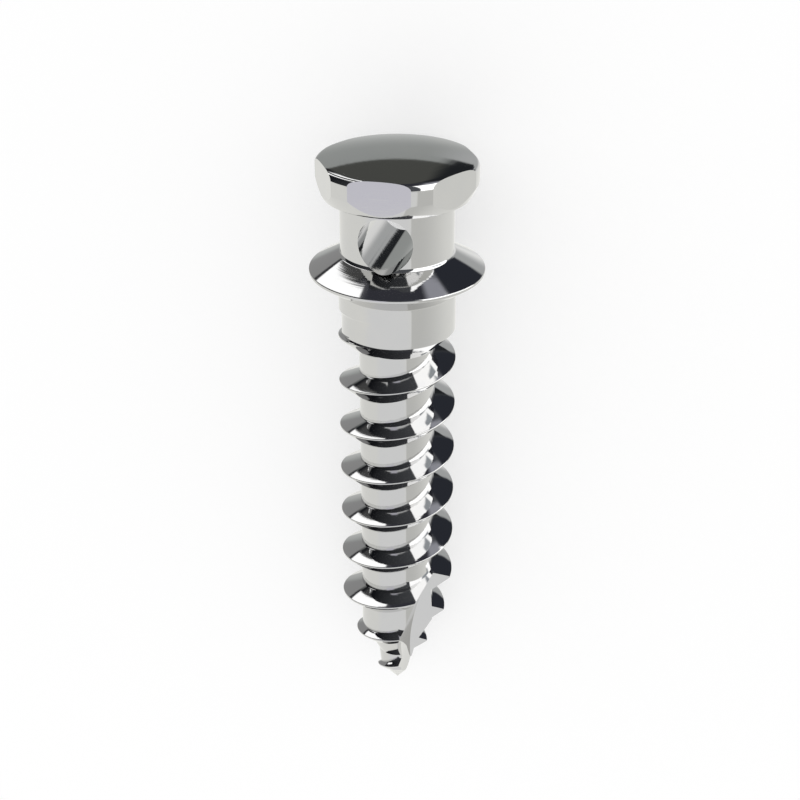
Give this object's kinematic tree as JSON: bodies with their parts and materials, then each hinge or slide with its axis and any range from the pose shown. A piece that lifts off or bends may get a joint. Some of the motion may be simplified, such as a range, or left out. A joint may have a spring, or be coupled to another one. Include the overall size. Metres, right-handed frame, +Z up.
{
  "type": "bone micro screw",
  "caption": "Self-tapping bone anchor screw: coarse right-hand thread, cutting flute at the tip, smooth collar, round flange, drilled neck and domed hexagon head.",
  "frame": {"origin": "middle of the footprint, on the surface that the screw lies on", "axes": "+X along the screw towards its head, raised by about 4.6 degrees; +Z up as the screw lies on its flange and on the thread near its point, with the wire hole upright"},
  "size_m": [0.0084, 0.0024, 0.0023],
  "materials": {
    "polished_metal": "mirror polished"
  },
  "bodies": {
    "root": {"micro_screw": "polished_metal"}
  },
  "joints": []
}
